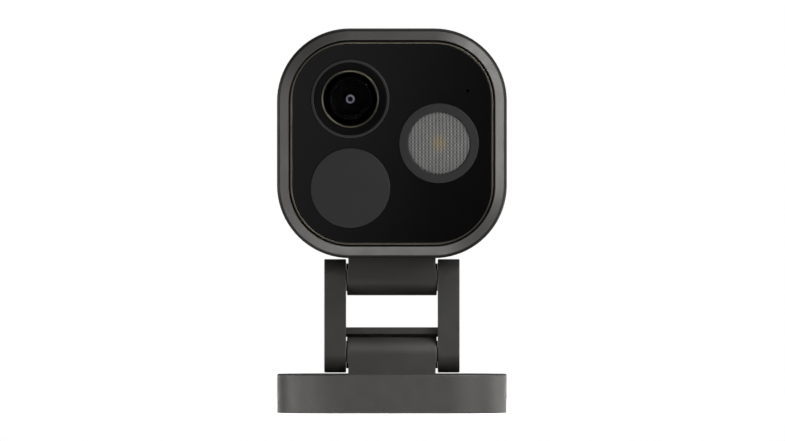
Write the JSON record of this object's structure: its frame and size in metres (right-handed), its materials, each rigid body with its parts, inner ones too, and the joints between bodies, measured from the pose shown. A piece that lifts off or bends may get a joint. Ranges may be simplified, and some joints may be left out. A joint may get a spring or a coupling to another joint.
{
  "type": "floodlight security camera",
  "caption": "Square camera head with lens, motion sensor and spot lamp behind a gloss window, on a double-hinged link above a square wall base.",
  "frame": {"origin": "middle of the base's wall face, where the wall plate rests", "axes": "+Z out of the wall face through the link to the head, -Y the way the lens looks, +X to the right as the front is seen"},
  "size_m": [0.086, 0.086, 0.144],
  "materials": {
    "anodised_graphite": "bead-blasted dark graphite anodising, satin",
    "anodised_rear": "bead-blasted dark graphite anodising, satin",
    "zinc_steel": "zinc-plated, satin",
    "black_steel": "black oxide, satin",
    "seal_rubber": "matte black",
    "window_black": "back-painted clear window, high gloss",
    "bronze_trim": "dark bronze plating, polished edge",
    "grey_ring": "fine matte grey",
    "black_plastic": "fine matte black",
    "lens_glass": "coated optical glass",
    "diffuser": "clear plastic with moulded micro-lenses",
    "reflector_chrome": "vacuum-metallised",
    "led_phosphor": "yellow phosphor under clear silicone",
    "circuit_board": "green solder mask, semi-gloss",
    "white_board": "white solder mask on aluminium",
    "bare_aluminium": "extruded, plain",
    "nickel_can": "nickel-plated, satin",
    "brass_parts": "plain brass",
    "sensor_silicon": "packaged silicon under glass",
    "pad_grey": "grey-blue silicone pad",
    "potted_brown": "dark potting resin",
    "green_plastic": "moulded green plastic",
    "mesh_cloth": "fine woven acoustic mesh",
    "switch_white": "moulded white plastic",
    "button_grey": "matte grey rubber-coated plastic"
  },
  "bodies": {
    "base": {"base_shell": "anodised_graphite", "wall_plate": "zinc_steel", "base_gasket": "seal_rubber", "base_lock_screw": "black_steel", "lower_knuckle": "anodised_graphite", "lower_knuckle_screws": "zinc_steel"},
    "link": {"link_frame": "anodised_graphite", "lower_hinge_pin": "zinc_steel", "upper_hinge_pin": "zinc_steel", "friction_washers": "black_steel", "hinge_screws": "black_steel"},
    "head": {"upper_knuckle": "anodised_graphite", "upper_knuckle_screws": "zinc_steel", "head_housing": "anodised_graphite", "rear_cover": "anodised_rear", "rear_gasket": "seal_rubber", "rear_screws": "black_steel", "window_gasket": "seal_rubber", "front_window": "window_black", "window_trim": "bronze_trim", "front_chassis": "black_plastic", "chassis_screws": "zinc_steel", "lens_bezel_ring": "grey_ring", "lens_hood": "black_plastic", "lens_trim_ring": "bronze_trim", "lens_cover_glass": "lens_glass", "lens_barrel": "black_plastic", "lens_element": "lens_glass", "lens_iris": "black_plastic", "sensor_board": "circuit_board", "image_sensor": "sensor_silicon", "pir_lens": "grey_ring", "pir_sensor": "nickel_can", "lamp_bezel": "grey_ring", "lamp_lens": "diffuser", "lamp_reflector": "reflector_chrome", "led_emitter": "led_phosphor", "led_board": "white_board", "thermal_pad": "pad_grey", "lamp_heat_sink": "bare_aluminium", "microphone": "black_plastic", "mic_seal": "seal_rubber", "wifi_antenna": "circuit_board", "main_board": "circuit_board", "board_standoffs": "brass_parts", "board_screws": "zinc_steel", "shield_can": "nickel_can", "power_converter": "potted_brown", "terminal_block": "green_plastic", "speaker": "black_plastic", "acoustic_mesh": "mesh_cloth", "reset_switch": "switch_white", "gland_body": "black_plastic", "gland_locknut": "black_plastic", "gland_nut": "black_plastic", "gland_bush": "seal_rubber"},
    "button": {"reset_button": "button_grey"}
  },
  "joints": [
    {"name": "base_tilt", "type": "hinge", "parent": "base", "child": "link", "pos_m": [0, 0, 0.0218], "axis": [1, 0, 0], "range_deg": [-30, 30]},
    {"name": "head_tilt", "type": "hinge", "parent": "link", "child": "head", "pos_m": [0, 0, 0.0508], "axis": [1, 0, 0], "range_deg": [-60, 60]},
    {"name": "reset_press", "type": "slide", "parent": "head", "child": "button", "axis": [0, -1, 0], "range_m": [0, 0.0008], "stiffness_N_per_m": 400, "springref_m": -0.001}
  ]
}
